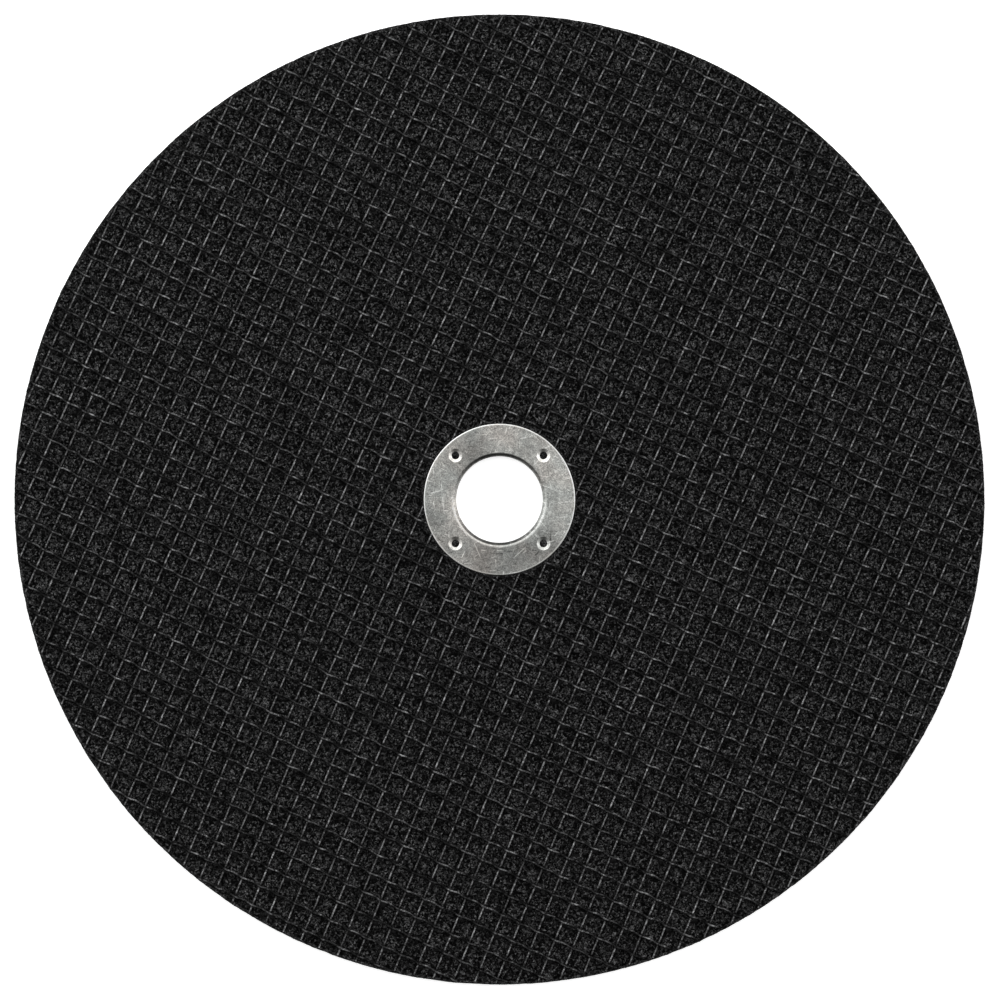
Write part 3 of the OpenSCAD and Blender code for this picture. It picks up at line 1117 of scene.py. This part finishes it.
class WHEEL_OT_abrasive_body(bpy.types.Operator):
    """Turns the bonded abrasive body with its rough rim"""

    bl_idname = "wheel.abrasive_body"
    bl_label = "Abrasive body"

    def execute(self, context):
        body = context.scene.wheel_body
        piece = new_object("abrasive_body", body_mesh(body))
        piece.data.materials.append(resin_material(body.tint))
        settle(piece, "abrasive", "abrasive_disc")
        return {"FINISHED"}


class WHEEL_OT_face_relief(bpy.types.Operator):
    """Packs crushed grain over the two faces"""

    bl_idname = "wheel.face_relief"
    bl_label = "Face relief"

    def execute(self, context):
        relief = context.scene.wheel_relief
        strands = context.scene.wheel_strands
        body = context.scene.wheel_body
        material = bpy.data.objects["abrasive_body"].data.materials[0]
        outer_r = WHEEL_R - body.bevel - relief.margin
        front_r = FLANGE_R + body.fit + relief.margin
        back_r = BORE_R + body.lip_width + body.fit + relief.margin
        corners, triangles = relief_net(relief, strands, relief.front_step, front_r, outer_r, FRONT_Z, 1)
        left = [triangle for triangle in triangles if corners[triangle[0]][0] < 0]
        right = [triangle for triangle in triangles if corners[triangle[0]][0] >= 0]
        back = relief_net(relief, strands, relief.back_step, back_r, outer_r, BACK_Z, -1)
        sheets = (
            ("front_grain_left", corners, left), ("front_grain_right", corners, right), ("back_grain", *back))
        for name, points, faces in sheets:
            mesh = relief_mesh(name, points, faces, relief.seed)
            mesh.materials.append(material)
            settle(new_object(name, mesh), "abrasive")
        return {"FINISHED"}


class WHEEL_OT_glass_mesh(bpy.types.Operator):
    """Weaves the glass mesh on both faces"""

    bl_idname = "wheel.glass_mesh"
    bl_label = "Glass mesh"

    def execute(self, context):
        strands = context.scene.wheel_strands
        body = context.scene.wheel_body
        tree = strand_tree()
        warp_skin = strand_material(
            "worn_glass_yarn", strands.warp_tint, cover=(0.85, 1.15), worn=(0.7, 2.1),
            bare=(0.06, 0.36, 0.03, 1.0), gloss=0.08)
        weft_skin = strand_material(
            "covered_glass_yarn", strands.weft_tint, cover=(0.5, 1.5), worn=(0.4, 2.1),
            bare=(0.1, 0.6, 0.25, 1.0), gloss=0.06)
        front_inner = FLANGE_R + body.fit
        back_inner = BORE_R + body.lip_width + body.fit
        for side, back, inner_r in (("front", False, front_inner), ("back", True, back_inner)):
            for name, other, skin in (("warp", "weft", warp_skin), ("weft", "warp", weft_skin)):
                values = strand_values(strands, name, other, back, inner_r, skin)
                piece = run_tree(f"{side}_{name}", bpy.data.meshes.new(name), tree, values)
                face_outwards(piece.data)
                settle(piece, "mesh", f"{side}_mesh")
        return {"FINISHED"}


class WHEEL_OT_grit(bpy.types.Operator):
    """Scatters grains over the front face and the rim"""

    bl_idname = "wheel.grit"
    bl_label = "Grit"

    def execute(self, context):
        grit = context.scene.wheel_grit
        material = grain_material(context.scene.wheel_body.tint)
        for name, ground, chosen, density, size in (
            ("left_grit", "front_grain_left", upward, grit.face_per_area, grit.face_size),
            ("right_grit", "front_grain_right", upward, grit.face_per_area, grit.face_size),
            ("rim_grit", "abrasive_body", outward, grit.rim_per_area, grit.rim_size),
        ):
            tree = grit_tree(name, chosen, material)
            values = {"Density": density, "Size": size, "Sink": size * GRAIN_SUNK, "Seed": grit.seed}
            piece = run_tree(name, bpy.data.objects[ground].data.copy(), tree, values)
            settle(piece, "abrasive")
        return {"FINISHED"}


class WHEEL_OT_resin_pools(bpy.types.Operator):
    """Lays pools of resin in the corners of the front weave, dark as painted shade below and to the right of
    each crossing
    """

    bl_idname = "wheel.resin_pools"
    bl_label = "Resin pools"

    def execute(self, context):
        pools = context.scene.wheel_pools
        places = []
        for point in crossings(context.scene.wheel_strands):
            place = Vector((point.x + pools.shift_x, point.y + pools.shift_y, FRONT_Z + pools.lift))
            if FLANGE_R + pools.margin < place.xy.length < MESH_R - pools.margin:
                places.append(place)
        mesh = bpy.data.meshes.new("pool_places")
        mesh.from_pydata(places, [], [])
        values = {"Size": pools.size, "Depth": pools.depth, "Seed": pools.seed}
        piece = run_tree("front_resin_pools", mesh, pool_tree(pool_material(pools.tint)), values)
        settle(piece, "abrasive")
        return {"FINISHED"}


class WHEEL_OT_arbor_ring(bpy.types.Operator):
    """Finishes the pressed steel ring"""

    bl_idname = "wheel.arbor_ring"
    bl_label = "Arbor ring"

    def execute(self, context):
        ring = frame["nodes"]["arbor_ring"]
        material = steel_material(context.scene.wheel_ring.tint)
        for place in ring.material_slots:
            place.material = material
        return {"FINISHED"}


class WHEEL_OT_stage(bpy.types.Operator):
    """Sets the floor, the lamps and the camera"""

    bl_idname = "wheel.stage"
    bl_label = "Stage"

    def execute(self, context):
        stage = context.scene.wheel_stage
        make_floor(stage)
        make_world()
        for name, power, place, size in LAMPS:
            make_lamp(name, place, size, getattr(stage, power))
        make_camera(stage)
        context.scene.view_settings.view_transform = "Standard"
        return {"FINISHED"}


class WHEEL_PT_sidebar(bpy.types.Panel):
    """Lists the steps that build the wheel"""

    bl_idname = "WHEEL_PT_sidebar"
    bl_label = "Cut-off wheel"
    bl_space_type = "VIEW_3D"
    bl_region_type = "UI"
    bl_category = "Cut-off wheel"

    def draw(self, context):
        for step in STEPS:
            self.layout.operator(step.bl_idname)
        for name in SETTINGS:
            box = self.layout.box()
            group = getattr(context.scene, name)
            for field in group.__annotations__:
                box.prop(group, field)


SETTINGS = {
    "wheel_body": WheelBodySettings,
    "wheel_strands": WheelStrandSettings,
    "wheel_relief": WheelReliefSettings,
    "wheel_grit": WheelGritSettings,
    "wheel_pools": WheelPoolSettings,
    "wheel_ring": WheelRingSettings,
    "wheel_stage": WheelStageSettings,
}
STEPS = (
    WHEEL_OT_abrasive_body,
    WHEEL_OT_face_relief,
    WHEEL_OT_glass_mesh,
    WHEEL_OT_grit,
    WHEEL_OT_resin_pools,
    WHEEL_OT_arbor_ring,
    WHEEL_OT_stage,
)


def register():
    for group in (*SETTINGS.values(), *STEPS, WHEEL_PT_sidebar):
        bpy.utils.register_class(group)
    for name, group in SETTINGS.items():
        setattr(bpy.types.Scene, name, PointerProperty(type=group))


def unregister():
    for name in SETTINGS:
        delattr(bpy.types.Scene, name)
    for group in reversed((*SETTINGS.values(), *STEPS, WHEEL_PT_sidebar)):
        bpy.utils.unregister_class(group)


def main():
    register()
    bpy.ops.wheel.abrasive_body()
    bpy.ops.wheel.face_relief()
    bpy.ops.wheel.glass_mesh()
    bpy.ops.wheel.grit()
    bpy.ops.wheel.resin_pools()
    bpy.ops.wheel.arbor_ring()
    bpy.ops.wheel.stage()


if __name__ == "__main__":
    main()
